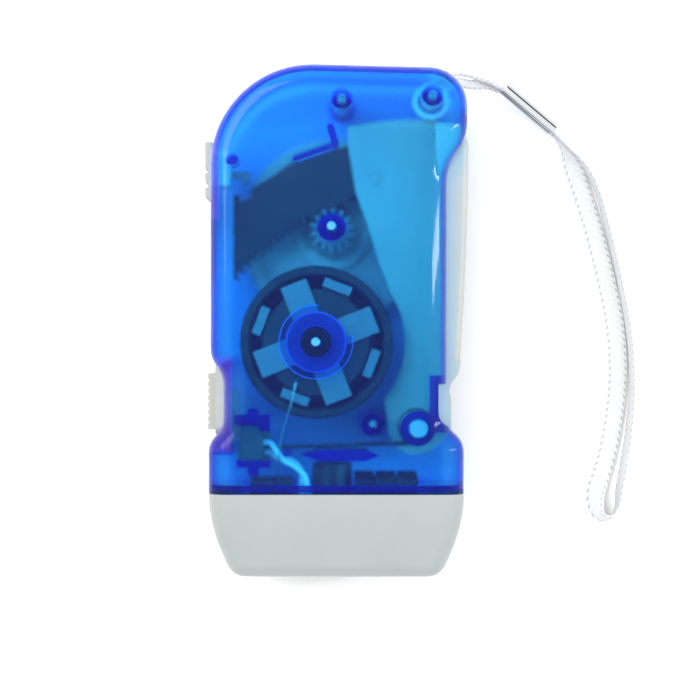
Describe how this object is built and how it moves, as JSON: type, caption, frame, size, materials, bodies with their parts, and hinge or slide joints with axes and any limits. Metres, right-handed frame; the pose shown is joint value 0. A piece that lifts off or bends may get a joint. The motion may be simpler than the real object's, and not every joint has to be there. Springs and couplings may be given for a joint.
{
  "type": "squeeze dynamo flashlight",
  "caption": "Hand-squeezed dynamo flashlight with a see-through case, swinging grip lever, gear train, flywheel generator, slide switch, lock slide and wrist strap.",
  "frame": {"origin": "centre of the case's bounding box at its flat back, on the surface it lies on", "axes": "+Y towards the strap end, -Y out of the lamp, +Z out of the case's front face, +X towards the squeeze lever"},
  "size_m": [0.0936, 0.1075, 0.03],
  "materials": {
    "case": "clear blue, polished",
    "grey_plastic": "satin",
    "lens": "polished",
    "reflector": "metallised",
    "led": "clear epoxy",
    "board": "solder mask",
    "capacitor": "sleeved can",
    "cells": "nickel plated",
    "dark_plastic": "moulded",
    "gear": "moulded",
    "magnet": "sintered ferrite",
    "pressed_steel": "pressed and plated",
    "bobbin": "moulded",
    "copper": "enamelled copper",
    "steel_axle": "ground",
    "rack": "moulded",
    "rivets": "headed",
    "spring": "drawn wire",
    "cream_plastic": "satin",
    "wire": "insulation",
    "strap": "woven",
    "ferrule": "polished",
    "screws": "plated"
  },
  "bodies": {
    "housing": {"front_shell": "case", "back_shell": "case", "head_cap": "grey_plastic", "lens": "lens", "reflector": "reflector", "leds": "led", "lamp_board": "board", "capacitor": "capacitor", "button_cells": "cells", "rectifier": "dark_plastic", "stator_core": "pressed_steel", "claw_plate_front": "pressed_steel", "claw_plate_back": "pressed_steel", "coil_bobbin": "bobbin", "coil_winding": "copper", "flywheel_axle": "steel_axle", "gear_axle": "steel_axle", "lever_pin": "steel_axle", "return_spring": "spring", "switch_bezel": "cream_plastic", "switch_body": "dark_plastic", "switch_board": "board", "lead_wires": "wire", "coil_leads": "copper", "strap_cord": "strap", "strap_ferrule": "ferrule", "strap_knot": "strap", "case_screws": "screws"},
    "lever": {"lever": "grey_plastic", "rack_sector": "rack", "rack_rivets": "rivets"},
    "drive": {"drive_pinion": "gear", "drive_gear": "gear", "clutch_pawls": "gear"},
    "flywheel": {"flywheel_hub": "gear", "ring_magnet": "magnet", "flywheel_pinion": "gear"},
    "lock": {"lock_slider": "grey_plastic"},
    "switch": {"switch_slider": "grey_plastic"}
  },
  "joints": [
    {"name": "lever_squeeze", "type": "hinge", "parent": "housing", "child": "lever", "pos_m": [0.0168, -0.0222, 0.015], "axis": [0, 0, 1], "range_deg": [-20, 0], "deforming": ["return_spring"]},
    {"name": "drive_gear_turn", "type": "hinge", "parent": "housing", "child": "drive", "pos_m": [-0.00102, 0.01945, 0.004], "axis": [0, 0, 1], "range_deg": [-240, 10]},
    {"name": "flywheel_spin", "type": "hinge", "parent": "housing", "child": "flywheel", "pos_m": [-0.00424, -0.00434, 0.014], "axis": [0, 0, 1], "range_deg": [-10, 1180]},
    {"name": "lock_slide", "type": "slide", "parent": "housing", "child": "lock", "axis": [0, -1, 0], "range_m": [0, 0.0026]},
    {"name": "switch_slide", "type": "slide", "parent": "housing", "child": "switch", "axis": [0, 1, 0], "range_m": [0, 0.002]}
  ],
  "couplings": [
    {"joint": "drive_gear_turn", "follows": "lever_squeeze", "ratio": 11.786},
    {"joint": "flywheel_spin", "follows": "lever_squeeze", "ratio": -58.929}
  ]
}
